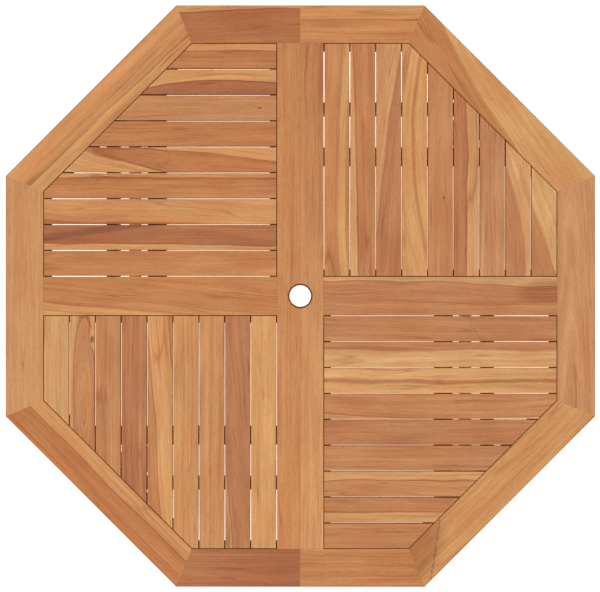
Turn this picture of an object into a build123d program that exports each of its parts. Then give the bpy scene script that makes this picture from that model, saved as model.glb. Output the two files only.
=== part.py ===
from build123d import *
import os
from math import hypot, radians, sqrt, tan

# An octagonal garden table: a slatted top made in two halves, on a square base with four legs.
# Millimetres, +Z up, origin on the floor under the parasol hole.
# +X runs across the seam between the two half tops, +Y along it, towards the back.

# Top, seen from above
slat_width = 50.5
slat_gap = 2.2
slat_end_gap = 1.4
slats_per_quarter = 9
board_width = 77.1
bar_width = 47.2
seam_gap = 0.02
crossbar_width = 78.2
corner_cut = 347.0
lip_width = 15.0
joint_gap = 0.02
batten_width = 38.0
batten_centre = 245.0
batten_end_gap = 1.0
parasol_hole_radius = 25.0

# Top, through its thickness
top_height = 750.0
slat_thickness = 15.0
lip_thickness = 12.0
outer_edge_round = 3.0
board_edge_round = 0.6
slat_edge_round = 0.8

# Base
leg_size = 55.0
leg_edge_round = 3.0
apron_thickness = 23.0
apron_height = 75.0
stretcher_thickness = 25.0
stretcher_height = 50.0
stretcher_bottom = 80.0
middle_width = 80.0
middle_thickness = 22.0
middle_tenon = 12.0
rail_edge_round = 2.0
tenon_length = 20.0
tenon_thickness = 11.0
tenon_shoulder = 9.0

# Fasteners
fit = 0.15
dowel_radius = 5.0
dowel_length = 36.0
dowel_spacing = 30.0
screw_radius = 1.75
screw_head_radius = 3.5
screw_head_height = 2.0
screw_recess_width = 0.9
screw_recess_reach = 1.9
screw_recess_depth = 1.3
slat_screw_length = 22.0
metal_screw_length = 16.0
bolt_radius = 4.0
bolt_head_radius = 6.5
bolt_head_height = 8.0
bolt_socket_width = 6.0
bolt_socket_depth = 4.0
bolt_recess_depth = 10.0
bolt_spacing = 36.0
bolt_tip = 8.0
nut_radius = 6.0
nut_length = 18.0
nut_from_end = 30.0
bracket_width = 25.0
bracket_leg = 30.0
bracket_thickness = 2.0
bracket_screw_place = 20.0
plate_width = 30.0
plate_length = 80.0
plate_thickness = 3.0
plate_places = (140.0, 280.0)
plate_screw_inset = 9.0
glide_radius = 15.0
glide_height = 5.0
glide_edge_round = 1.5
glide_pin_radius = 2.5
glide_pin_length = 15.0

# Levels
board_thickness = slat_thickness + lip_thickness
underside = top_height - board_thickness
dowel_level = underside + board_thickness / 2

# Plan of the right half top, from the seam outwards
seam_edge = seam_gap / 2
bar_edge = seam_edge + bar_width
cross_edge = crossbar_width / 2
pitch = slat_width + slat_gap
field = slats_per_quarter * pitch + slat_end_gap
inner_x = bar_edge + field
inner_y = cross_edge + field
outer_x = inner_x + board_width
outer_y = inner_y + board_width

# A 45 degree edge is given by the sum of its X and Y
outer_sum = outer_x + outer_y - corner_cut
inner_sum = outer_sum - board_width * sqrt(2)
lip_sum = inner_sum - lip_width * sqrt(2)
outer_side = outer_sum - outer_x
outer_end = outer_sum - outer_y
inner_side = inner_sum - inner_x
inner_end = inner_sum - inner_y

# The mitres lie on the bisectors, half a joint gap back along each board
mitre_slope = tan(radians(22.5))
mitre_back = joint_gap / 2 * hypot(1, mitre_slope)
corner_back = mitre_back / sqrt(2)
lip_back = lip_width * mitre_slope

# The legs stand under the corner boards, with their inner corners under the lips' edges
leg_centre = lip_sum / 2 + leg_size / 2
leg_inner = leg_centre - leg_size / 2
leg_outer = leg_centre + leg_size / 2
apron_inner = leg_centre - apron_thickness / 2
apron_level = underside - apron_height / 2
stretcher_level = stretcher_bottom + stretcher_height / 2
middle_reach = leg_centre - stretcher_thickness / 2

HALVES = {"right": 1, "left": -1}


def turned(points, half):
    """The points of the right half top, or of the left half, which is the right one turned by 180 degrees."""
    return [(half * x, half * y) for x, y in points]


def mirrored(points):
    """The points mirrored from back to front."""
    return [(x, -y) for x, y in points]


def end_name(half, end):
    """A corner's name: turning the right half by 180 degrees swaps back and front as well."""
    back = (end == "back") == (half == 1)
    side = "right" if half == 1 else "left"
    return f"{'back' if back else 'front'}_{side}"


def save(part, label):
    """Name a finished piece and write its file."""
    part.label = label
    export_step(part, f"parts/{label}.step")


# Slats and battens of one quarter: p runs along the slats, q across them, both from the parasol hole.
# "across" is the front right quarter, with slats along X, and "deep" the back right one, with slats along Y.
QUARTERS = {
    "across": (bar_edge, inner_x, cross_edge),
    "deep": (cross_edge, inner_y, bar_edge),
}


def quarter_points(kind, points):
    """Points along and across the slats of a quarter as points in X and Y."""
    if kind == "across":
        return [(p, -q) for p, q in points]
    return [(q, p) for p, q in points]


def slat_sides(kind, number):
    """Where a slat's two long sides lie."""
    start = QUARTERS[kind][2] + slat_gap + (number - 1) * pitch
    return start, start + slat_width


def slat_outline(kind, number):
    """A slat in plan: square at its inner end, cut along the outer frame at its outer end."""
    near, far, _ = QUARTERS[kind]
    low, high = slat_sides(kind, number)
    start = near + slat_end_gap
    square_end = far - slat_end_gap
    slant = inner_sum - slat_end_gap * sqrt(2)
    points = [(start, low), (min(square_end, slant - low), low)]
    if low < slant - square_end < high:
        points.append((square_end, slant - square_end))
    points += [(min(square_end, slant - high), high), (start, high)]
    return quarter_points(kind, points)


def slat_screw_points(kind, number):
    """One screw through the lip at each end of a slat, and one through the batten if it reaches that far."""
    near, far, _ = QUARTERS[kind]
    middle = sum(slat_sides(kind, number)) / 2
    outer = min(far - lip_width / 2, inner_sum - lip_width / sqrt(2) - middle)
    points = [(near + lip_width / 2, middle), (outer, middle)]
    batten = near + batten_centre
    batten_end = lip_sum - batten_end_gap * sqrt(2) - batten - batten_width / 2
    if middle + screw_head_radius < batten_end:
        points.append((batten, middle))
    return quarter_points(kind, points)


def batten_outline(kind):
    """A batten in plan: from the bar beside the first slat out to the corner board's lip."""
    near, _, side = QUARTERS[kind]
    low = near + batten_centre - batten_width / 2
    high = low + batten_width
    end = lip_sum - batten_end_gap * sqrt(2)
    return quarter_points(kind, [(low, side), (low, end - low), (high, end - high), (high, side)])


slat_numbers = range(1, slats_per_quarter + 1)
right_screw_points = [
    point for kind in QUARTERS for number in slat_numbers for point in slat_screw_points(kind, number)
]
slat_screw_places = right_screw_points + turned(right_screw_points, -1)


def near_points(points, part):
    """Those of the points that lie over a part's box."""
    box = part.bounding_box()
    return [(x, y) for x, y in points if box.min.X < x < box.max.X and box.min.Y < y < box.max.Y]


def countersunk(length, clearance):
    """A plain countersunk screw, or with a clearance its hole, head down at the origin and pointing up."""
    radius = screw_radius + clearance
    head = screw_head_radius + clearance
    with BuildPart() as screw:
        with BuildSketch(Plane.XZ):
            with BuildLine():
                Polyline(
                    (0, 0),
                    (head, 0),
                    (radius, screw_head_height),
                    (radius, length + clearance),
                    (0, length + clearance),
                    close=True,
                )
            make_face()
        revolve(axis=Axis.Z)
    return screw.part


def recessed(length):
    """A countersunk screw with a cross recess in its head."""
    with BuildPart() as screw:
        add(countersunk(length, 0))
        with BuildSketch():
            Rectangle(2 * screw_recess_reach, screw_recess_width)
            Rectangle(screw_recess_width, 2 * screw_recess_reach)
        extrude(amount=screw_recess_depth, mode=Mode.SUBTRACT)
    return screw.part


slat_screw = recessed(slat_screw_length)
slat_screw_hole = countersunk(slat_screw_length, fit)
metal_screw = recessed(metal_screw_length)
metal_screw_hole = countersunk(metal_screw_length, fit)


# Places of the steel parts under the top and their screws
def frame_places(points, level):
    """Places at one level, pointing up."""
    return [Location((x, y, level)) for x, y in points]


bracket_frames = []
for side in (1, -1):
    for offset in (crossbar_width / 4, -crossbar_width / 4):
        bracket_frames.append(Plane(origin=(side * apron_inner, offset, underside), x_dir=(-side, 0, 0)))
    for offset in (seam_edge + bar_width / 2, -seam_edge - bar_width / 2):
        bracket_frames.append(Plane(origin=(offset, side * apron_inner, underside), x_dir=(0, -side, 0)))

bracket_screw_frames = []
for frame in bracket_frames:
    up = frame.location * Location((bracket_screw_place, 0, -bracket_thickness))
    out = frame.location * Location((bracket_thickness, 0, -bracket_screw_place), (0, -90, 0))
    bracket_screw_frames += [up, out]

plate_points = [(0, sign * place) for place in plate_places for sign in (1, -1)]
plate_screw_x = (plate_screw_inset + seam_edge, plate_length / 2 - plate_screw_inset)
seam_screw_points = [(sign * x, y) for x in plate_screw_x for sign in (1, -1) for _, y in plate_points]
seam_screw_frames = frame_places(seam_screw_points, underside - plate_thickness)


# Dowels of the right half's joints: each joint is the line where two boards meet
joints = {
    "side_back": ((inner_x, inner_side), (outer_x, outer_side)),
    "end_back": ((inner_end, inner_y), (outer_end, outer_y)),
    "bar_back": ((seam_edge, inner_y), (bar_edge, inner_y)),
    "cross_inner": ((bar_edge, -cross_edge), (bar_edge, cross_edge)),
    "cross_outer": ((inner_x, -cross_edge), (inner_x, cross_edge)),
}
for name in ("side", "end", "bar"):
    joints[f"{name}_front"] = tuple(mirrored(joints[f"{name}_back"]))


def dowel_planes(joint, half):
    """The middles of a joint's two dowels, each with its axis square to the joint."""
    (ax, ay), (bx, by) = turned(joints[joint], half)
    length = hypot(bx - ax, by - ay)
    along = ((bx - ax) / length, (by - ay) / length)
    planes = []
    for offset in (dowel_spacing / 2, -dowel_spacing / 2):
        x = (ax + bx) / 2 + offset * along[0]
        y = (ay + by) / 2 + offset * along[1]
        planes.append(Plane(origin=(x, y, dowel_level), z_dir=(-along[1], along[0], 0)))
    return planes


def edges_at(part, start, end):
    """The edges whose middles lie over the middle of a line in plan."""
    x = (start[0] + end[0]) / 2
    y = (start[1] + end[1]) / 2
    near = 0.01
    return part.edges().filter_by(lambda e: hypot((e @ 0.5).X - x, (e @ 0.5).Y - y) < near)


def make_board(label, half, outline, lips, board_joints):
    """A board of the top: its outline at full thickness, thin lips that carry slats, and its holes.
    The outline of a board of the outer frame gives its inner edge first, then its outer edge."""
    with BuildPart() as board:
        with BuildSketch(Plane.XY.offset(underside)):
            Polygon(*turned(outline, half))
        extrude(amount=board_thickness)
        if "bar" in label:
            with Locations((0, 0, dowel_level)):
                Cylinder(parasol_hole_radius, 2 * board_thickness, mode=Mode.SUBTRACT)
            fillet(board.edges().group_by(Axis.Z)[-1], board_edge_round)
        else:
            inner_line, outer_line = turned(outline[:2], half), turned(outline[2:], half)
            fillet(edges_at(board.part, *outer_line), outer_edge_round)
            fillet(edges_at(board.part, *inner_line).group_by(Axis.Z)[-1], board_edge_round)
        with BuildSketch(Plane.XY.offset(underside)):
            for lip in lips:
                Polygon(*turned(lip, half))
        extrude(amount=lip_thickness)
        planes = [plane for joint in board_joints for plane in dowel_planes(joint, half)]
        with Locations(*planes):
            Cylinder(dowel_radius + fit, dowel_length + 2 * fit, mode=Mode.SUBTRACT)
        holes = near_points(slat_screw_places, board.part)
        if holes:
            with Locations(*frame_places(holes, underside)):
                add(slat_screw_hole, mode=Mode.SUBTRACT)
        if "bar" in label:
            with Locations(*bracket_screw_frames, *seam_screw_frames):
                add(metal_screw_hole, mode=Mode.SUBTRACT)
    save(board.part, label)


def make_half_frame(half):
    """The outer boards, half centre bar and crossbar of one half top."""
    side = "right" if half == 1 else "left"
    side_mitre = [(inner_x, inner_side - mitre_back), (outer_x, outer_side - mitre_back)]
    front_mitre = mirrored(side_mitre)
    lip_corner_side = (inner_x - lip_width, inner_side - lip_back)
    lip_corner_end = (inner_end - lip_back, inner_y - lip_width)

    # A lip that meets the lip of a bar stops short of it
    past_lip = lip_width + joint_gap

    def side_lip(start):
        return [(inner_x, start), (inner_x, inner_side), lip_corner_side, (inner_x - lip_width, start)]

    def end_lip(start):
        return [(start, inner_y), (inner_end, inner_y), lip_corner_end, (start, inner_y - lip_width)]

    make_board(
        f"side_board_{side}",
        half,
        [side_mitre[0], front_mitre[0], front_mitre[1], side_mitre[1]],
        [side_lip(cross_edge + past_lip), mirrored(side_lip(cross_edge))],
        ("side_back", "side_front", "cross_outer"),
    )
    end_board = [
        (seam_edge, inner_y),
        (inner_end - mitre_back, inner_y),
        (outer_end - mitre_back, outer_y),
        (seam_edge, outer_y),
    ]
    corner_board = [
        (inner_x - corner_back, inner_side + corner_back),
        (inner_end + corner_back, inner_y - corner_back),
        (outer_end + corner_back, outer_y - corner_back),
        (outer_x - corner_back, outer_side + corner_back),
    ]
    corner_lip = [(inner_x, inner_side), (inner_end, inner_y), lip_corner_end, lip_corner_side]
    for end, plan, lip_start in (("back", list, bar_edge), ("front", mirrored, bar_edge + past_lip)):
        make_board(
            f"end_board_{end_name(half, end)}",
            half,
            plan(end_board),
            [plan(end_lip(lip_start))],
            (f"end_{end}", f"bar_{end}"),
        )
        make_board(
            f"corner_board_{end_name(half, end)}",
            half,
            plan(corner_board),
            [plan(corner_lip)],
            (f"side_{end}", f"end_{end}"),
        )
    bar_end = inner_y - joint_gap
    make_board(
        f"centre_bar_{side}",
        half,
        [(seam_edge, -bar_end), (bar_edge, -bar_end), (bar_edge, bar_end), (seam_edge, bar_end)],
        [
            mirrored(
                [
                    (bar_edge, cross_edge),
                    (bar_edge + lip_width, cross_edge),
                    (bar_edge + lip_width, inner_y),
                    (bar_edge, inner_y),
                ]
            )
        ],
        ("bar_back", "bar_front", "cross_inner"),
    )
    cross_start = bar_edge + joint_gap
    cross_end = inner_x - joint_gap
    make_board(
        f"crossbar_{side}",
        half,
        [
            (cross_start, -cross_edge),
            (cross_end, -cross_edge),
            (cross_end, cross_edge),
            (cross_start, cross_edge),
        ],
        [
            [
                (cross_start, cross_edge),
                (cross_end, cross_edge),
                (cross_end, cross_edge + lip_width),
                (cross_start, cross_edge + lip_width),
            ]
        ],
        ("cross_inner", "cross_outer"),
    )


def make_slats(kind, number):
    """Two slats alike, one in a quarter of each half top."""
    outline = slat_outline(kind, number)
    with BuildPart() as slats:
        with BuildSketch(Plane.XY.offset(top_height - slat_thickness)):
            for half in HALVES.values():
                Polygon(*turned(outline, half))
        extrude(amount=slat_thickness)
        fillet(slats.edges().group_by(Axis.Z)[-1], slat_edge_round)
        points = slat_screw_points(kind, number)
        with Locations(*frame_places(points + turned(points, -1), underside)):
            add(slat_screw_hole, mode=Mode.SUBTRACT)
    save(slats.part, f"slat_{kind}_{number}")


def make_batten(kind, half):
    """A flat strip across the undersides of a quarter's slats."""
    outline = turned(batten_outline(kind), half)
    with BuildPart() as batten:
        with BuildSketch(Plane.XY.offset(underside)):
            Polygon(*outline)
        extrude(amount=lip_thickness)
        holes = near_points(slat_screw_places, batten.part)
        with Locations(*frame_places(holes, underside)):
            add(slat_screw_hole, mode=Mode.SUBTRACT)
    save(batten.part, f"batten_{end_name(half, 'front' if kind == 'across' else 'back')}")


# Bolts between the legs and the cross aprons: planes whose Z axis points inwards along the bolt
bolt_seat = leg_outer - bolt_recess_depth
bolt_length = bolt_seat - leg_inner + nut_from_end + bolt_tip
bolt_planes = [
    Plane(origin=(sx * bolt_seat, sy * leg_centre, apron_level + sz * bolt_spacing / 2), z_dir=(-sx, 0, 0))
    for sx in (1, -1)
    for sy in (1, -1)
    for sz in (1, -1)
]
bolt_places = [plane.location for plane in bolt_planes]
nut_depth = bolt_seat - leg_inner + nut_from_end

UPWARD = (Align.CENTER, Align.CENTER, Align.MIN)
DOWNWARD = (Align.CENTER, Align.CENTER, Align.MAX)


def tenon_size(thickness, height, clearance):
    """The size of a rail's tenon, or with a clearance of its mortise."""
    return thickness + 2 * clearance, height - 2 * tenon_shoulder + 2 * clearance


def make_leg(label, sx, sy):
    """A square leg with its mortises, bolt holes and the hole for its glide's pin."""
    with BuildPart() as leg:
        with BuildSketch(Plane.XY.offset(glide_height)):
            with Locations((sx * leg_centre, sy * leg_centre)):
                Rectangle(leg_size, leg_size)
        extrude(amount=underside - glide_height)
        fillet(leg.edges().filter_by(Axis.Z), leg_edge_round)
        chamfer(leg.edges().group_by(Axis.Z)[0], rail_edge_round)
        for level, height in ((apron_level, apron_height), (stretcher_level, stretcher_height)):
            width, tall = tenon_size(tenon_thickness, height, fit)
            with Locations((sx * leg_centre, sy * leg_inner, level)):
                Box(width, 2 * (tenon_length + fit), tall, mode=Mode.SUBTRACT)
        for place in bolt_places:
            if place.position.X * sx > 0 and place.position.Y * sy > 0:
                with Locations(place):
                    Cylinder(bolt_radius + fit, bolt_length, align=UPWARD, mode=Mode.SUBTRACT)
                    Cylinder(bolt_head_radius + fit, leg_size, align=DOWNWARD, mode=Mode.SUBTRACT)
        with Locations((sx * leg_centre, sy * leg_centre, glide_height)):
            Cylinder(glide_pin_radius + fit, glide_pin_length + fit, align=UPWARD, mode=Mode.SUBTRACT)
    save(leg.part, label)


def make_side_rail(label, side, thickness, height, bottom):
    """A rail between the legs of one side, with a tenon at each end."""
    width, tall = tenon_size(tenon_thickness, height, 0)
    with BuildPart() as rail:
        with Locations((side * leg_centre, 0, bottom + height / 2)):
            Box(thickness, 2 * leg_inner, height)
        fillet(rail.edges().filter_by(Axis.Y).group_by(Axis.Z)[0], rail_edge_round)
        with Locations((side * leg_centre, 0, bottom + height / 2)):
            Box(width, 2 * (leg_inner + tenon_length), tall)
        with Locations(*bracket_screw_frames):
            add(metal_screw_hole, mode=Mode.SUBTRACT)
        with Locations((0, 0, stretcher_level)):
            Box(*middle_tenon_size(fit), mode=Mode.SUBTRACT)
    save(rail.part, label)


def middle_tenon_size(clearance):
    """The bar that makes the middle stretcher's two tenons, or with a clearance their mortises."""
    length = 2 * (middle_reach + middle_tenon + clearance)
    width, thickness = middle_width - 2 * tenon_shoulder, middle_thickness - tenon_thickness
    return length, width + 2 * clearance, thickness + 2 * clearance


def make_middle_stretcher():
    """A flat rail between the two low stretchers, tenoned into them, with a hole for the parasol pole."""
    with BuildPart() as rail:
        with Locations((0, 0, stretcher_level)):
            Box(2 * middle_reach, middle_width, middle_thickness)
        fillet(rail.edges().filter_by(Axis.X), rail_edge_round)
        with Locations((0, 0, stretcher_level)):
            Box(*middle_tenon_size(0))
            Cylinder(parasol_hole_radius, 2 * middle_thickness, mode=Mode.SUBTRACT)
    save(rail.part, "middle_stretcher")


def make_cross_apron(label, side):
    """A rail between the two sides, drilled at its ends for bolts and barrel nuts."""
    with BuildPart() as apron:
        with Locations((0, side * leg_centre, apron_level)):
            Box(2 * leg_inner, apron_thickness, apron_height)
        fillet(apron.edges().filter_by(Axis.X).group_by(Axis.Z)[0], rail_edge_round)
        with Locations(*bolt_places):
            Cylinder(bolt_radius + fit, bolt_length + fit, align=UPWARD, mode=Mode.SUBTRACT)
        for place in bolt_places:
            sign = 1 if place.position.X > 0 else -1
            x = sign * (leg_inner - nut_from_end)
            y = side * (leg_centre + nut_length / 2 + fit)
            nut_hole = Plane(origin=(x, y, place.position.Z), z_dir=(0, -side, 0))
            with Locations(nut_hole):
                Cylinder(nut_radius + fit, apron_thickness, align=UPWARD, mode=Mode.SUBTRACT)
        with Locations(*bracket_screw_frames):
            add(metal_screw_hole, mode=Mode.SUBTRACT)
    save(apron.part, label)


def make_leg_bolts():
    """Socket bolts with their heads sunk into the outer faces of the legs."""
    with BuildPart() as bolts:
        with Locations(*bolt_places):
            Cylinder(bolt_radius, bolt_length, align=UPWARD)
            Cylinder(bolt_head_radius, bolt_head_height, align=DOWNWARD)
        for plane in bolt_planes:
            with BuildSketch(plane.offset(-bolt_head_height)):
                RegularPolygon(bolt_socket_width / 2, 6, major_radius=False)
            extrude(amount=bolt_socket_depth, mode=Mode.SUBTRACT)
    save(bolts.part, "leg_bolts")


def make_barrel_nuts():
    """Cross-drilled nuts lying across the aprons, where the bolts end."""
    with BuildPart() as nuts:
        for place in bolt_places:
            with Locations(place * Location((0, 0, nut_depth), (90, 0, 0))):
                Cylinder(nut_radius, nut_length)
        with Locations(*bolt_places):
            Cylinder(bolt_radius + fit, bolt_length + fit, align=UPWARD, mode=Mode.SUBTRACT)
    save(nuts.part, "barrel_nuts")


def make_top_brackets():
    """Steel angles in the corners between the aprons and the bars above them."""
    profile = [
        (0, 0),
        (bracket_leg, 0),
        (bracket_leg, -bracket_thickness),
        (bracket_thickness, -bracket_thickness),
        (bracket_thickness, -bracket_leg),
        (0, -bracket_leg),
    ]
    with BuildPart() as brackets:
        for frame in bracket_frames:
            section = Plane(origin=frame.origin, x_dir=frame.x_dir, z_dir=frame.y_dir * -1)
            with BuildSketch(section):
                Polygon(*profile)
            extrude(amount=bracket_width / 2, both=True)
        with Locations(*bracket_screw_frames):
            add(metal_screw_hole, mode=Mode.SUBTRACT)
    save(brackets.part, "top_brackets")


def make_seam_plates():
    """Flat steel plates across the seam, under the two half bars."""
    with BuildPart() as plates:
        with BuildSketch(Plane.XY.offset(underside)):
            with Locations(*plate_points):
                Rectangle(plate_length, plate_width)
        extrude(amount=-plate_thickness)
        fillet(plates.edges().filter_by(Axis.Z), plate_thickness)
        with Locations(*seam_screw_frames):
            add(metal_screw_hole, mode=Mode.SUBTRACT)
    save(plates.part, "seam_plates")


def make_screws(label, screw, places):
    """A group of screws alike."""
    with BuildPart() as screws:
        with Locations(*places):
            add(screw)
    save(screws.part, label)


def make_frame_dowels():
    """Wooden dowels in every mitre and butt joint of the two half frames."""
    planes = [plane for half in HALVES.values() for joint in joints for plane in dowel_planes(joint, half)]
    with BuildPart() as dowels:
        with Locations(*planes):
            Cylinder(dowel_radius, dowel_length)
    save(dowels.part, "frame_dowels")


def make_foot_glides():
    """Round glides with a pin each, pressed into the feet of the legs."""
    places = [Location((sx * leg_centre, sy * leg_centre, 0)) for sx in (1, -1) for sy in (1, -1)]
    with BuildPart() as glides:
        with Locations(*places):
            Cylinder(glide_radius, glide_height, align=UPWARD)
        fillet(glides.edges().group_by(Axis.Z)[0], glide_edge_round)
        with Locations(*places):
            Cylinder(glide_pin_radius, glide_height + glide_pin_length, align=UPWARD)
    save(glides.part, "foot_glides")


os.makedirs("parts", exist_ok=True)

for half in HALVES.values():
    make_half_frame(half)
    for kind in QUARTERS:
        make_batten(kind, half)

for kind in QUARTERS:
    for number in slat_numbers:
        make_slats(kind, number)

for side, sx in HALVES.items():
    make_leg(f"leg_back_{side}", sx, 1)
    make_leg(f"leg_front_{side}", sx, -1)
    make_side_rail(f"side_apron_{side}", sx, apron_thickness, apron_height, underside - apron_height)
    make_side_rail(f"stretcher_{side}", sx, stretcher_thickness, stretcher_height, stretcher_bottom)

make_middle_stretcher()
make_cross_apron("cross_apron_back", 1)
make_cross_apron("cross_apron_front", -1)
make_leg_bolts()
make_barrel_nuts()
make_top_brackets()
make_seam_plates()
make_screws("bracket_screws", metal_screw, bracket_screw_frames)
make_screws("seam_screws", metal_screw, seam_screw_frames)
make_screws("slat_screws", slat_screw, frame_places(slat_screw_places, underside))
make_frame_dowels()
make_foot_glides()
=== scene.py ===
"""An octagonal garden table of slatted teak, seen from straight above."""

import math
import random
from dataclasses import dataclass, replace
from itertools import count

import bpy
from mathutils import Euler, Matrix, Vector


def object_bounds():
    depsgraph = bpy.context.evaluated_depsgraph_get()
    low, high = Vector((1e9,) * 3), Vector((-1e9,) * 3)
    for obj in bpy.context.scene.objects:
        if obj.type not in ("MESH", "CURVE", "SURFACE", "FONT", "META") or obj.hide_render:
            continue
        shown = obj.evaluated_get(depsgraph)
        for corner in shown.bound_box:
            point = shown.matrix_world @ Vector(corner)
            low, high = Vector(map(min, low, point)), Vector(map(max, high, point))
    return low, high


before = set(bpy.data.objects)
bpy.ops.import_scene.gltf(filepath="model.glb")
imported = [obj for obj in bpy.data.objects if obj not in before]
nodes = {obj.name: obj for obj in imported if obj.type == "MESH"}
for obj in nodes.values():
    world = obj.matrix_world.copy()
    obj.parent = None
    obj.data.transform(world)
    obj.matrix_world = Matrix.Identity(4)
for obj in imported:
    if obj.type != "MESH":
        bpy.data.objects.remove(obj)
cad_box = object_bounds()

MM = 0.001
TOP = cad_box[1][2]

# Colours, as sRGB values out of 255. The heartwood runs from umber to cinnamon, the sapwood to straw.
UMBER = (158, 95, 65)
CINNAMON = (191, 128, 81)
STRAW = (220, 169, 111)
BEECH_DARK = (184, 153, 114)
BEECH_LIGHT = (214, 178, 132)
ZINC_DARK = (172, 176, 182)
ZINC_LIGHT = (212, 214, 216)
PLASTIC_DARK = (36, 34, 33)
PLASTIC_LIGHT = (58, 55, 53)


def linear(colour):
    """An sRGB colour out of 255 as linear RGBA."""
    parts = [part / 255 for part in colour]
    return [part / 12.92 if part <= 0.04045 else ((part + 0.055) / 1.055) ** 2.4 for part in parts] + [1.0]


def wood_tone(tone, wash):
    """A colour of the wood: 0 is umber, 1 cinnamon and 2 straw.
    A wash of 1 takes all its colour out, and one below 0 makes it stronger."""
    low, high, share = (UMBER, CINNAMON, tone) if tone < 1 else (CINNAMON, STRAW, tone - 1)
    fresh = [a + (b - a) * share for a, b in zip(low, high)]
    return linear([part + (max(fresh) - part) * wash for part in fresh])


@dataclass
class Figure:
    """How one board shows its grain, in mm: u runs along the board from its middle, v across it.
    The growth rings lie around the heart of the log, which is beside the board and below its face."""

    tone: float            # colour of the board: 0 umber, 1 cinnamon, 2 straw
    other: float = None    # colour of its second wood, such as sapwood, if it has any
    edge: float = 0.0      # where the second wood starts, at the board's middle
    side: int = 1          # 1: the second wood lies towards +v, -1: towards -v
    band: float = 500.0    # how far the second wood reaches
    slope: float = 0.0     # rise of the grain, for each 100 mm along the board
    bow: float = 0.0       # rise of the grain 200 mm from the middle, both ways
    heart: float = 90.0    # how far the log's heart lies to the side of the first wood
    depth: float = 40.0    # how far it lies below the face
    taper: float = 0.0     # how much nearer it comes for each 100 mm along the board
    soft: float = 0.8      # half width of the change to the second wood
    streak: float = 1.0    # strength of the streaks
    wave: float = 1.0      # waviness of the grain
    fade: float = 0.0      # lightening towards +v
    lean: float = 0.0      # lightening towards +u
    # On the battens a wash below 0 is painted bounce light, not fresher wood
    wash: float = 0.0      # how much colour the weather has taken, below 0 for fresher wood
    vein: tuple = None     # place across, rise for each 100 mm and half width of a dark vein
    knot: tuple = None     # place and radius of a knot
    knot_shade: float = 1.0    # how dark the knot is


# Slats of each quarter, from the one beside the bar (1) to the outermost (9).
# Across: u to the right, v to the back. Deep: u to the front, v to the right.
SLATS = {
    "across_left": [
        Figure(1.1, fade=-0.1),
        Figure(0.5, other=1.55, edge=-15, side=-1, slope=-1, wash=0.03, vein=(31, 13.6, 11)),
        Figure(1.48, other=0.6, edge=-24, side=-1, slope=-3),
        Figure(1.03, other=1.65, edge=17, fade=-0.25),
        Figure(0.85, other=1.6, edge=22, heart=3, depth=20, slope=-15, taper=8),
        Figure(0.95, slope=3, fade=-0.1),
        Figure(1.15, slope=1, wash=0.06, knot=(130, 0, 2)),
        Figure(0.38, other=1.6, edge=5, slope=5, bow=-26, streak=0.8),
        Figure(0.92, other=1.6, edge=11),
    ],
    "across_right": [
        Figure(0.97, slope=-2, vein=(126, -183, 1.8)),
        Figure(1.75, other=0.95, edge=11),
        Figure(1.72, other=0.75, edge=-5, band=6, wave=2.2, lean=-0.1, wash=-0.03),
        Figure(1.1, other=1.65, edge=-25, side=-1, slope=-1, bow=5, wash=-0.02),
        Figure(0.92),
        Figure(1.04, slope=-1),
        Figure(1.17, other=1.65, edge=8, wave=2.2, wash=-0.02),
        Figure(0.9, other=1.5, edge=-6, side=-1, wash=-0.04),
        Figure(1.03, wash=-0.04),
    ],
    "deep_right": [
        Figure(1.12, other=1.65, edge=1, band=17, slope=-1, bow=6, soft=4, wash=-0.03),
        Figure(0.97, other=1.6, edge=-14.5, side=-1, slope=2.8),
        Figure(0.88, other=1.5, edge=-9.5, side=-1, slope=-12, bow=6, wash=0.02),
        Figure(1.65, other=1.0, edge=-4, band=2, slope=5, bow=22, heart=60, wash=-0.05),
        Figure(1.12, knot=(57, 7, 2)),
        Figure(0.72, other=1.6, edge=1, wave=2.4, lean=0.1),
        Figure(1.15, lean=0.15, streak=1.3, wash=0.05),
        Figure(1.68, other=0.92, edge=-1.5, side=-1, slope=23, bow=-37, wash=0.02),
        Figure(1.78, other=0.92, edge=-14, side=-1, slope=36),
    ],
    "deep_left": [
        Figure(1.77, streak=0.8, wash=-0.07),
        Figure(0.76, other=1.4, edge=-30, side=-1, slope=8),
        Figure(1.4, streak=1.2, wash=-0.05),
        Figure(1.46, wash=-0.05),
        Figure(1.2, other=1.75, edge=-9.5, band=36, slope=7, wash=-0.07),
        Figure(0.72),
        Figure(1.08, streak=1.2),
        Figure(1.05, other=1.5, edge=-20, side=-1, heart=4, depth=3, taper=13, knot=(-90, 20, 4)),
        Figure(1.65, streak=0.9),
    ],
}

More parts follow.
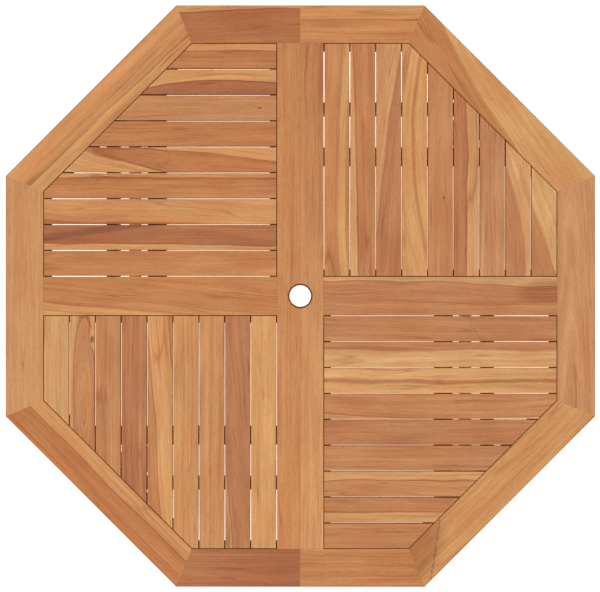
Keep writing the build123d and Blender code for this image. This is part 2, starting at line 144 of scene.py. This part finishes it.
# Boards of the frame. Outer boards: v outwards. Bars: as on the slats that run the same way.
BOARDS = {
    "side_board_left": Figure(1.44, streak=0.8, wash=0.04),
    "side_board_right": Figure(1.22, heart=10, depth=30, taper=4, wash=0.09),
    "end_board_back_left": Figure(0.58, other=1.55, edge=29, slope=3.7),
    "end_board_back_right": Figure(1.25, other=1.5, edge=10, slope=2, wash=-0.02),
    "end_board_front_left": Figure(0.5, lean=0.3, wash=0.03),
    "end_board_front_right": Figure(1.15),
    "corner_board_back_left": Figure(1.3, other=1.8, edge=-17, side=-1, slope=-2.5, fade=0.35),
    "corner_board_back_right": Figure(1.65, other=1.05, edge=-20, side=-1, slope=-24, bow=10, streak=0.8),
    "corner_board_front_left": Figure(1.0, other=1.6, edge=-12, side=-1),
    "corner_board_front_right": Figure(
        1.5, streak=0.9, vein=(-131, 75, 3), knot=(235, -25, 52), knot_shade=0.6
    ),
    "centre_bar_left": Figure(1.27, lean=0.03, streak=0.8),
    "centre_bar_right": Figure(1.29, lean=0.1, streak=1.1, wash=0.03),
    "crossbar_left": Figure(1.17, other=1.6, edge=-34, side=-1, slope=-9, soft=3),
    "crossbar_right": Figure(
        0.95, other=1.5, edge=29, wave=2.2, wash=0.07, knot=(212, 8, 28), knot_shade=0.4
    ),
}

# How washed out each quarter's slats are, beside what their figures say
WASHES = {"across_left": 0.0, "across_right": 0.07, "deep_right": 0.05, "deep_left": 0.07}

# Directions of the grain, as turns about Z from +X, in degrees
TURNS = {
    "side_board_left": 90,
    "side_board_right": -90,
    "end_board_back": 0,
    "end_board_front": 180,
    "corner_board_back_left": 45,
    "corner_board_back_right": -45,
    "corner_board_front_left": 135,
    "corner_board_front_right": 225,
    "centre_bar": -90,
    "crossbar": 0,
    "slat_across": 0,
    "slat_deep": -90,
    "batten_back_left": 90,
    "batten_back_right": 0,
    "batten_front_left": 0,
    "batten_front_right": 90,
    "side_apron": 90,
    "stretcher": 90,
    "middle_stretcher": 0,
    "cross_apron": 0,
}


class Nodes:
    """Short ways to add shader nodes to one tree and link them."""

    def __init__(self, tree):
        self.tree = tree

    def node(self, kind, inputs, **settings):
        node = self.tree.nodes.new(kind)
        for name, value in settings.items():
            setattr(node, name, value)
        for key, value in inputs.items():
            if isinstance(value, bpy.types.NodeSocket):
                self.tree.links.new(value, node.inputs[key])
            else:
                node.inputs[key].default_value = value
        return node

    def add(self, kind, inputs, output=0, **settings):
        return self.node(kind, inputs, **settings).outputs[output]

    def math(self, operation, a, b=0.0):
        return self.add("ShaderNodeMath", {0: a, 1: b}, operation=operation)

    def total(self, first, *others):
        for other in others:
            first = self.math("ADD", first, other)
        return first

    def minus(self, first, *others):
        for other in others:
            first = self.math("SUBTRACT", first, other)
        return first

    def times(self, first, *others):
        for other in others:
            first = self.math("MULTIPLY", first, other)
        return first

    def step(self, value, start, end, low=0.0, high=1.0):
        """A smooth step of a value from one level to another."""
        inputs = {"Value": value, "From Min": start, "From Max": end, "To Min": low, "To Max": high}
        return self.add("ShaderNodeMapRange", inputs, interpolation_type="SMOOTHSTEP")

    def noise(self, place, detail=2.0):
        """A noise node at a place of three values."""
        vector = self.add("ShaderNodeCombineXYZ", dict(enumerate(place)))
        return self.node("ShaderNodeTexNoise", {"Vector": vector, "Scale": 1.0, "Detail": detail})

    def swing(self, value, reach):
        """A noise value as a swing to both sides of zero."""
        return self.times(self.minus(value, 0.5), 2 * reach)

    def mix(self, share, a, b, blend="MIX"):
        inputs = {0: share, 6: a, 7: b}
        return self.add("ShaderNodeMix", inputs, output=2, data_type="RGBA", blend_type=blend)


# Units of a figure's values: a rise is for each 100 mm along the board and a bow is at 200 mm.
# A fade is over 50 mm and a lean over 200 mm.
PER_RISE = 1 / 100
PER_BOW = 1 / 200**2
PER_FADE = 1 / 50
PER_LEAN = 1 / 200

# Sizes of the wood's marks along and across the grain, in mm
WAVE = (200.0, 70.0)
RIPPLE = (50.0, 25.0)
BROAD_STREAK = (420.0, 8.0)
FINE_STREAK = (150.0, 2.2)
CLOUD = (130.0, 32.0)
LINE = (450.0, 12.0)
FIBRE = (22.0, 1.4)
PORES = (10.0, 0.8)
JAG = (9.0, 7.0)

# How far they move the grain, in mm
WAVE_REACH = 5.0
RIPPLE_REACH = 1.2
JAG_REACH = 8.0
KNOT_SWIRL = 7.0

# How much they lighten and darken the wood
BROAD_SWING = 0.27
FINE_SWING = 0.34
CLOUD_SWING = 0.28
LINE_STRENGTH = 0.75
VEIN_STRENGTH = 0.9
RIM_STRENGTH = 0.85
PORE_STRENGTH = 0.55
FIBRE_STRENGTH = 0.26

# Where they start and where they are full, as levels of a noise
PORE_LEVELS = (0.62, 0.70)
FIBRE_LEVELS = (0.35, 0.7)
RED_LEVELS = (0.4, 0.65)
LINE_LEVELS = (0.4, 0.6)
LINE_EDGE = (0.03, 0.0)

# The rim beside the second wood, in mm, the soft share of a vein, and a knot's edges in its radii
RIM_EDGE = (4.0, 0.0)
VEIN_SOFT = 0.7
KNOT_STRETCH = 2.0
KNOT_EDGE = (1.2, 0.6)
SWIRL_EDGE = (4.0, 0.5)
LEAST = 0.001

# End grain shows where the face stands this much across the grain
END_FACING = (0.75, 0.95)

# Roughness of the wood, and what its marks add to it and to the height of the face
PLAIN_ROUGHNESS = 0.58
FIBRE_ROUGHNESS = 0.14
PORE_ROUGHNESS = 0.12
END_ROUGHNESS = 0.15
FIBRE_HEIGHT = 0.5
PORE_HEIGHT = -0.8
STREAK_HEIGHT = 0.3

# Tints that multiply the wood's colour
DARK_STREAK = (0.72, 0.60, 0.57, 1.0)
LIGHT_STREAK = (1.34, 1.46, 1.50, 1.0)
REDDER = (1.0, 0.92, 0.90, 1.0)
DARK_LINE = (0.72, 0.60, 0.56, 1.0)
PORE = (0.68, 0.56, 0.50, 1.0)
VEIN = (0.66, 0.62, 0.78, 1.0)
KNOT = (0.50, 0.36, 0.30, 1.0)
END_GRAIN = (0.66, 0.58, 0.54, 1.0)

FIGURE_VECTORS = ("Centre", "Turn", "Grain", "Vein", "Knot")
FIGURE_COLOURS = ("Tone", "Other")
PLAIN_FLOATS = ("Depth", "Slope", "Bow", "Taper", "Soft", "Streak", "Wave", "Fade", "Lean")
FIGURE_FLOATS = ("Seed", "Heart", "Inner", "Outer", "Knot Shade") + PLAIN_FLOATS


def make_teak_group():
    """The wood's figure as one group: rings around the log's heart, a second wood, streaks and pores."""
    tree = bpy.data.node_groups.new("teak_figure", "ShaderNodeTree")
    for names, kind in (
        (FIGURE_VECTORS, "NodeSocketVector"),
        (FIGURE_COLOURS, "NodeSocketColor"),
        (FIGURE_FLOATS, "NodeSocketFloat"),
    ):
        for name in names:
            tree.interface.new_socket(name, in_out="INPUT", socket_type=kind)
    tree.interface.new_socket("Color", in_out="OUTPUT", socket_type="NodeSocketColor")
    tree.interface.new_socket("Roughness", in_out="OUTPUT", socket_type="NodeSocketFloat")
    tree.interface.new_socket("Height", in_out="OUTPUT", socket_type="NodeSocketFloat")

    n = Nodes(tree)
    given = tree.nodes.new("NodeGroupInput").outputs
    seed = given["Seed"]
    on_board = {
        "Vector": n.add("ShaderNodeTexCoord", {}, output="Object"),
        "Location": given["Centre"],
        "Rotation": given["Turn"],
        "Scale": (MM, MM, MM),
    }
    board_place = n.add("ShaderNodeMapping", on_board, vector_type="TEXTURE")
    u, v, w = n.node("ShaderNodeSeparateXYZ", {0: board_place}).outputs

    def solid(size, detail=1.0):
        """Noise through the solid wood, stretched along the grain."""
        along, across = size
        place = (n.total(n.times(u, 1 / along), seed), n.times(v, 1 / across), n.times(w, 1 / across))
        return n.noise(place, detail).outputs

    def ringed(ring, size, shift, detail=1.0):
        """Noise that follows the rings."""
        along, across = size
        place = (n.total(n.times(u, 1 / along), seed), n.times(ring, 1 / across), n.total(seed, shift))
        return n.noise(place, detail).outputs[0]

    # A knot turns the rings aside
    knot_u, knot_v, knot_size = n.node("ShaderNodeSeparateXYZ", {0: given["Knot"]}).outputs
    beside_knot = n.minus(v, knot_v)
    along_knot = n.times(n.minus(u, knot_u), 1 / KNOT_STRETCH)
    from_knot = n.math("SQRT", n.total(n.times(beside_knot, beside_knot), n.times(along_knot, along_knot)))
    knot_share = n.math("DIVIDE", from_knot, n.math("MAXIMUM", knot_size, LEAST))
    swirl = n.step(knot_share, *SWIRL_EDGE, 0.0, KNOT_SWIRL)

    # Distance from the heart of the log
    rise = n.times(u, given["Slope"], PER_RISE)
    bend = n.times(u, u, given["Bow"], PER_BOW)
    beside = n.minus(v, given["Heart"], rise, bend)
    below = n.minus(n.total(w, given["Depth"]), n.times(u, given["Taper"], PER_RISE))
    radius = n.math("SQRT", n.total(n.times(beside, beside), n.times(below, below)))
    wander = n.total(n.swing(solid(WAVE)[0], WAVE_REACH), n.swing(solid(RIPPLE)[0], RIPPLE_REACH))
    ring = n.total(radius, n.times(wander, given["Wave"]), swirl)

    # A dark vein runs its own way
    vein_place, vein_rise, vein_width = n.node("ShaderNodeSeparateXYZ", {0: given["Vein"]}).outputs
    jag = n.times(n.swing(solid(JAG)[0], JAG_REACH), vein_rise, PER_RISE)
    off_vein = n.minus(v, vein_place, n.times(u, vein_rise, PER_RISE))
    inside_vein = n.minus(vein_width, n.math("ABSOLUTE", n.total(off_vein, wander, jag)))
    vein_soft = n.math("MAXIMUM", n.times(vein_width, VEIN_SOFT), LEAST)
    vein = n.step(inside_vein, 0.0, vein_soft, 0.0, VEIN_STRENGTH)

    # Streaks, clouds and thin dark lines
    fine = ringed(ring, FINE_STREAK, shift=3.0, detail=2.0)
    cloud = solid(CLOUD)
    cloud_tint = n.node("ShaderNodeSeparateColor", {0: cloud[1]}).outputs
    streaks = n.total(
        n.swing(ringed(ring, BROAD_STREAK, shift=0.0), BROAD_SWING),
        n.swing(fine, FINE_SWING),
        n.swing(cloud_tint[0], CLOUD_SWING),
    )
    shade = n.total(
        0.5,
        n.times(streaks, given["Streak"]),
        n.times(v, given["Fade"], PER_FADE),
        n.times(u, given["Lean"], PER_LEAN),
    )
    crossing = n.math("ABSOLUTE", n.minus(ringed(ring, LINE, shift=5.0, detail=0.0), 0.5))
    line = n.times(n.step(crossing, *LINE_EDGE, 0.0, LINE_STRENGTH), n.step(cloud_tint[2], *LINE_LEVELS))

    # The second wood lies between two rings, with a darker rim beside it
    soft = given["Soft"]
    inside = n.minus(ring, given["Inner"])
    outside = n.minus(given["Outer"], ring)
    hard = n.times(soft, -1.0)
    other = n.times(n.step(inside, hard, soft), n.step(outside, hard, soft))
    beyond = n.times(n.math("MINIMUM", inside, outside), -1.0)
    rim = n.times(n.step(beyond, *RIM_EDGE, 0.0, RIM_STRENGTH), n.minus(1.0, other))

    # Fibres and pores along the grain, and end grain where the face stands across it
    fibre = solid(FIBRE, detail=2.0)[0]
    pore = n.step(solid(PORES)[0], *PORE_LEVELS)
    normal = n.add("ShaderNodeNewGeometry", {}, output="Normal")
    along = {0: normal, 1: given["Grain"]}
    facing = n.add("ShaderNodeVectorMath", along, output="Value", operation="DOT_PRODUCT")
    end = n.step(n.math("ABSOLUTE", facing), *END_FACING)

    colour = n.mix(other, given["Tone"], given["Other"])
    for share, tint in (
        (1.0, n.mix(shade, DARK_STREAK, LIGHT_STREAK)),
        (n.step(cloud_tint[1], *RED_LEVELS), REDDER),
        (n.total(line, rim), DARK_LINE),
        (vein, VEIN),
        (n.times(pore, PORE_STRENGTH), PORE),
        (n.step(fibre, *FIBRE_LEVELS, 0.0, FIBRE_STRENGTH), PORE),
        (n.times(n.step(knot_share, *KNOT_EDGE), given["Knot Shade"]), KNOT),
        (end, END_GRAIN),
    ):
        colour = n.mix(share, colour, tint, "MULTIPLY")

    roughness = n.total(
        PLAIN_ROUGHNESS,
        n.times(fibre, FIBRE_ROUGHNESS),
        n.times(pore, PORE_ROUGHNESS),
        n.times(end, END_ROUGHNESS),
    )
    height = n.total(n.times(fibre, FIBRE_HEIGHT), n.times(pore, PORE_HEIGHT), n.times(fine, STREAK_HEIGHT))
    n.node("NodeGroupOutput", {"Color": colour, "Roughness": roughness, "Height": height})
    return tree


TEAK = make_teak_group()
SPECULAR = 0.08
BUMP_HEIGHT = 0.15 * MM
BUMP_STRENGTH = 0.5
NO_SECOND_WOOD = 10000.0
NOWHERE = (0.0, 0.0, 0.0)


def bare_material(name):
    """A node material without nodes, and the short ways to add them."""
    material = bpy.data.materials.new(name)
    material.use_nodes = True
    material.node_tree.nodes.clear()
    return material, Nodes(material.node_tree)


def new_material(name):
    """A node material with its shader, and the short ways to add nodes."""
    material, n = bare_material(name)
    shader = n.node("ShaderNodeBsdfPrincipled", {})
    n.node("ShaderNodeOutputMaterial", {"Surface": shader.outputs[0]})
    return material, n, shader


def teak(name, figure, centre, turn, seed):
    """The wood of one board. Centre is the middle of its face, turn the rotation of its grain."""
    material, n, shader = new_material(f"teak_{name}")
    heart = -figure.side * figure.heart
    inner = NO_SECOND_WOOD if figure.other is None else math.hypot(figure.edge - heart, figure.depth)
    values = {
        "Centre": centre,
        "Turn": turn,
        "Grain": turn.to_matrix() @ Vector((1, 0, 0)),
        "Vein": figure.vein or NOWHERE,
        "Knot": figure.knot or NOWHERE,
        "Knot Shade": figure.knot_shade,
        "Tone": wood_tone(figure.tone, figure.wash),
        "Other": wood_tone(figure.other or 0.0, figure.wash),
        "Seed": seed,
        "Heart": heart,
        "Inner": inner,
        "Outer": inner + figure.band,
    }
    for key in PLAIN_FLOATS:
        values[key] = getattr(figure, key.lower())
    group = material.node_tree.nodes.new("ShaderNodeGroup")
    group.node_tree = TEAK
    for key, value in values.items():
        group.inputs[key].default_value = value
    colour, roughness, height = group.outputs
    bump = n.add("ShaderNodeBump", {"Strength": BUMP_STRENGTH, "Distance": BUMP_HEIGHT, "Height": height})
    for key, socket in (("Base Color", colour), ("Roughness", roughness), ("Normal", bump)):
        n.tree.links.new(socket, shader.inputs[key])
    shader.inputs["Specular IOR Level"].default_value = SPECULAR
    return material


def face_middle(corners, turn):
    """The middle of a board's upper face, measured along and across its grain."""
    level = max(corner.z for corner in corners)
    face = [turn.to_matrix().inverted() @ corner for corner in corners if corner.z > level - MM]
    middle = [(min(c[axis] for c in face) + max(c[axis] for c in face)) / 2 for axis in range(3)]
    return turn.to_matrix() @ Vector(middle)


def turn_of(node):
    """The direction of a piece's grain, by the longest name that fits."""
    if node.startswith("leg_"):
        return Euler((0, math.radians(-90), 0))
    name = max((name for name in TURNS if node.startswith(name)), key=len)
    return Euler((0, 0, math.radians(TURNS[name])))


def give(node, *materials):
    """A node shows these materials."""
    mesh = nodes[node].data
    mesh.materials.clear()
    for material in materials:
        mesh.materials.append(material)


def dress_board(node, figure, seed):
    """A node of one board."""
    turn = turn_of(node)
    corners = [vertex.co for vertex in nodes[node].data.vertices]
    give(node, teak(node, figure, face_middle(corners, turn), turn, seed))


# First seed of each group of boards, and the step from one board to the next
SLAT_SEEDS = (1.0, 7.3)
FRAME_SEEDS = (400.0, 11.7)
BASE_SEEDS = (700.0, 9.1)

# Slats of a quarter, counted from the bar
SLAT_NUMBERS = range(1, 10)


def dress_slats():
    """Each slat node holds two slats, one in each half top, and each is a board of its own."""
    seeds = count(*SLAT_SEEDS)
    for kind in ("across", "deep"):
        for number in SLAT_NUMBERS:
            node = f"slat_{kind}_{number}"
            mesh = nodes[node].data
            turn = turn_of(node)
            boards = []
            for half, sign in (("left", -1), ("right", 1)):
                corners = [vertex.co for vertex in mesh.vertices if vertex.co.x * sign > 0]
                quarter = f"{kind}_{half}"
                figure = SLATS[quarter][number - 1]
                figure = replace(figure, wash=figure.wash + WASHES[quarter])
                middle = face_middle(corners, turn)
                boards.append(teak(f"{quarter}_{number}", figure, middle, turn, next(seeds)))
            give(node, *boards)
            for polygon in mesh.polygons:
                polygon.material_index = int(polygon.center.x > 0)


def dress_frame():
    """The boards of the outer frame and the bars."""
    seeds = count(*FRAME_SEEDS)
    for node, figure in BOARDS.items():
        dress_board(node, figure, next(seeds))


# Darkest and lightest tones of the pieces below the top
BASE_TONES = {
    # Painted bounce light: the battens are lighter than the other pieces, so that they look lit in the gaps
    # between the slats
    "batten": (1.6, 2.0),
    "side_apron": (0.9, 1.5),
    "cross_apron": (0.9, 1.5),
    "stretcher": (0.9, 1.5),
    # Painted shade: the middle stretcher is darker, so that it shows as a dark ring through the parasol
    # hole
    "middle_stretcher": (0.5, 0.7),
    "leg_back": (0.9, 1.5),
    "leg_front": (0.9, 1.5),
}
# Stronger colour on the battens, painted bounce light in the gaps between the slats
BATTEN_PAINTED_BOUNCE_WASH = -0.2

# Start of the random draws for these pieces
BASE_DRAW = 12


def dress_base():
    """Battens, legs and rails, which the photograph hardly shows, in boards drawn by chance."""
    draw = random.Random(BASE_DRAW)
    seeds = count(*BASE_SEEDS)
    for node in sorted(nodes):
        kind = next((kind for kind in BASE_TONES if node.startswith(kind)), None)
        if kind is None:
            continue
        figure = Figure(
            tone=draw.uniform(*BASE_TONES[kind]),
            heart=draw.uniform(30, 110),
            side=draw.choice((-1, 1)),
            depth=draw.uniform(40, 90),
            slope=draw.uniform(-1.5, 1.5),
            taper=draw.uniform(-3, 3),
            wash=BATTEN_PAINTED_BOUNCE_WASH if kind == "batten" else 0.0,
        )
        dress_board(node, figure, next(seeds))


STEEL_NODES = (
    "leg_bolts",
    "barrel_nuts",
    "top_brackets",
    "bracket_screws",
    "seam_plates",
    "seam_screws",
    "slat_screws",
)
STEEL_SPECKLE = 160.0
STEEL_LEVELS = (0.3, 0.7)
STEEL_ROUGHNESS = (0.28, 0.45)
PLASTIC_SPECKLE = 1800.0
PLASTIC_ROUGHNESS = 0.55
PLASTIC_BUMP = 0.1 * MM
PLASTIC_BUMP_STRENGTH = 0.4
DOWEL_SPECKLE = 400.0
DOWEL_ROUGHNESS = 0.6


def speckled(name, dark, light, scale):
    """A material whose colour varies with a fine noise, and that noise."""
    material, n, shader = new_material(name)
    place = n.add("ShaderNodeTexCoord", {}, output="Object")
    noise = n.add("ShaderNodeTexNoise", {"Vector": place, "Scale": scale, "Detail": 3.0})
    n.tree.links.new(n.mix(noise, linear(dark), linear(light)), shader.inputs["Base Color"])
    return material, n, shader, noise


def dress_hardware():
    """Zinc-plated steel, dark plastic glides and plain beech dowels."""
    steel, n, shader, noise = speckled("zinc_steel", ZINC_DARK, ZINC_LIGHT, STEEL_SPECKLE)
    n.tree.links.new(n.step(noise, *STEEL_LEVELS, *STEEL_ROUGHNESS), shader.inputs["Roughness"])
    shader.inputs["Metallic"].default_value = 1.0
    for node in STEEL_NODES:
        give(node, steel)

    plastic, n, shader, noise = speckled("glide_plastic", PLASTIC_DARK, PLASTIC_LIGHT, PLASTIC_SPECKLE)
    grain = {"Strength": PLASTIC_BUMP_STRENGTH, "Distance": PLASTIC_BUMP, "Height": noise}
    n.tree.links.new(n.add("ShaderNodeBump", grain), shader.inputs["Normal"])
    shader.inputs["Roughness"].default_value = PLASTIC_ROUGHNESS
    give("foot_glides", plastic)

    beech, n, shader, noise = speckled("dowel_wood", BEECH_DARK, BEECH_LIGHT, DOWEL_SPECKLE)
    shader.inputs["Roughness"].default_value = DOWEL_ROUGHNESS
    give("frame_dowels", beech)


# The floor's half width, in metres, and its colour to light that bounces off it
FLOOR_SIZE = 30.0
BOUNCE_GREY = (0.55, 0.55, 0.55, 1.0)
WHITE = (1.0, 1.0, 1.0, 1.0)

# Colour and glow of the floor as it is seen, in the open and under the table, where a warm shade is painted
FLOOR_GREY = (0.9, 0.9, 0.9, 1.0)
OPEN_GLOW = (0.65, 0.65, 0.65, 1.0)
PAINTED_SHADE_TINT = (0.9, 0.78, 0.66, 1.0)
PAINTED_SHADE_GLOW = (0.57, 0.34, 0.21, 1.0)

# How high above the floor something still shades it, in metres, and how open the floor is where the painted
# shade starts and where it is full
SHADE_REACH = 2.0
SHADE_LEVELS = (0.77, 0.62)

# Edge of the painted spot of light below the parasol hole, in metres
PAINTED_SPOT_EDGE = (0.05, 0.028)


def seen_ray(n):
    """1 for rays that show the background: straight to the camera, in a reflection or through glass."""
    path = n.node("ShaderNodeLightPath", {}).outputs
    seen = n.math("MAXIMUM", path["Is Camera Ray"], path["Is Glossy Ray"])
    return n.math("MAXIMUM", seen, path["Is Transmission Ray"])


def make_floor():
    """A pale floor: seen white, with a soft warm shade painted where the table covers it and a painted spot
    of light below the parasol hole. It is plain grey to all other light, and clear from below."""
    mesh = bpy.data.meshes.new("floor")
    corners = [(-1, -1), (1, -1), (1, 1), (-1, 1)]
    mesh.from_pydata([(x * FLOOR_SIZE, y * FLOOR_SIZE, -MM) for x, y in corners], [], [(0, 1, 2, 3)])
    floor = bpy.data.objects.new("floor", mesh)
    bpy.context.collection.objects.link(floor)

    material, n = bare_material("pale_floor")
    openness = n.add("ShaderNodeAmbientOcclusion", {"Distance": SHADE_REACH}, output="AO")
    # Painted shade: the floor's seen glow and colour turn warm where the table covers it
    shade = n.step(openness, *SHADE_LEVELS)
    place = n.add("ShaderNodeTexCoord", {}, output="Object")
    from_middle = n.add("ShaderNodeVectorMath", {0: place}, output="Value", operation="LENGTH")
    # Painted light: a white glowing disc on the floor below the parasol hole
    painted_spot = n.step(from_middle, *PAINTED_SPOT_EDGE)
    glow_colour = n.mix(painted_spot, n.mix(shade, OPEN_GLOW, PAINTED_SHADE_GLOW), WHITE)
    glow = n.add("ShaderNodeEmission", {"Color": glow_colour, "Strength": 1.0})
    tinted = n.add("ShaderNodeBsdfDiffuse", {"Color": n.mix(shade, FLOOR_GREY, PAINTED_SHADE_TINT)})
    seen_floor = n.add("ShaderNodeAddShader", {0: glow, 1: tinted})
    lit = n.add("ShaderNodeBsdfDiffuse", {"Color": BOUNCE_GREY})
    upper = n.add("ShaderNodeMixShader", {0: seen_ray(n), 1: lit, 2: seen_floor})
    from_below = n.add("ShaderNodeNewGeometry", {}, output="Backfacing")
    clear = n.add("ShaderNodeBsdfTransparent", {})
    surface = n.add("ShaderNodeMixShader", {0: from_below, 1: upper, 2: clear})
    n.node("ShaderNodeOutputMaterial", {"Surface": surface})
    mesh.materials.append(material)


# Light from the horizon and from straight above, and the key lamp
SKY_LIGHT = (0.25, 0.85)
KEY_LIGHT = 1.30
KEY_SPREAD = math.radians(35)
KEY_PLACE = Vector((-1.4, 1.3, 3.5))


def make_light():
    """A wide soft light overhead that fades towards the sides, and a soft key from the back left."""
    world = bpy.data.worlds.new("studio")
    world.use_nodes = True
    world.node_tree.nodes.clear()
    n = Nodes(world.node_tree)
    direction = n.add("ShaderNodeTexCoord", {}, output="Generated")
    upward = n.node("ShaderNodeSeparateXYZ", {0: direction}).outputs[2]
    low, high = SKY_LIGHT
    overhead = n.total(low, n.times(n.math("MAXIMUM", upward, 0.0), high - low))
    strength = n.math("MAXIMUM", overhead, seen_ray(n))
    sky = n.add("ShaderNodeBackground", {"Color": WHITE, "Strength": strength})
    n.node("ShaderNodeOutputWorld", {"Surface": sky})
    bpy.context.scene.world = world

    lamp = bpy.data.lights.new("key", "SUN")
    lamp.energy = KEY_LIGHT
    lamp.angle = KEY_SPREAD
    key = bpy.data.objects.new("key", lamp)
    key.location = KEY_PLACE
    key.rotation_euler = (-KEY_PLACE).to_track_quat("-Z", "Y").to_euler()
    bpy.context.collection.objects.link(key)


# Camera above the top and width of its view there, in metres, and its sensor in mm
CAMERA_HEIGHT = 4.37
CAMERA_ASIDE = -0.6 * MM
VIEW_WIDTH = 1.2206
SENSOR = 36.0


def make_camera():
    """Straight down on the middle of the top, from far above."""
    data = bpy.data.cameras.new("camera")
    data.sensor_fit = "HORIZONTAL"
    data.sensor_width = SENSOR
    data.lens = SENSOR * CAMERA_HEIGHT / VIEW_WIDTH
    camera = bpy.data.objects.new("camera", data)
    camera.location = (CAMERA_ASIDE, 0, TOP + CAMERA_HEIGHT)
    bpy.context.collection.objects.link(camera)
    bpy.context.scene.camera = camera


dress_slats()
dress_frame()
dress_base()
dress_hardware()
make_floor()
make_light()
make_camera()
bpy.context.scene.view_settings.view_transform = "Standard"
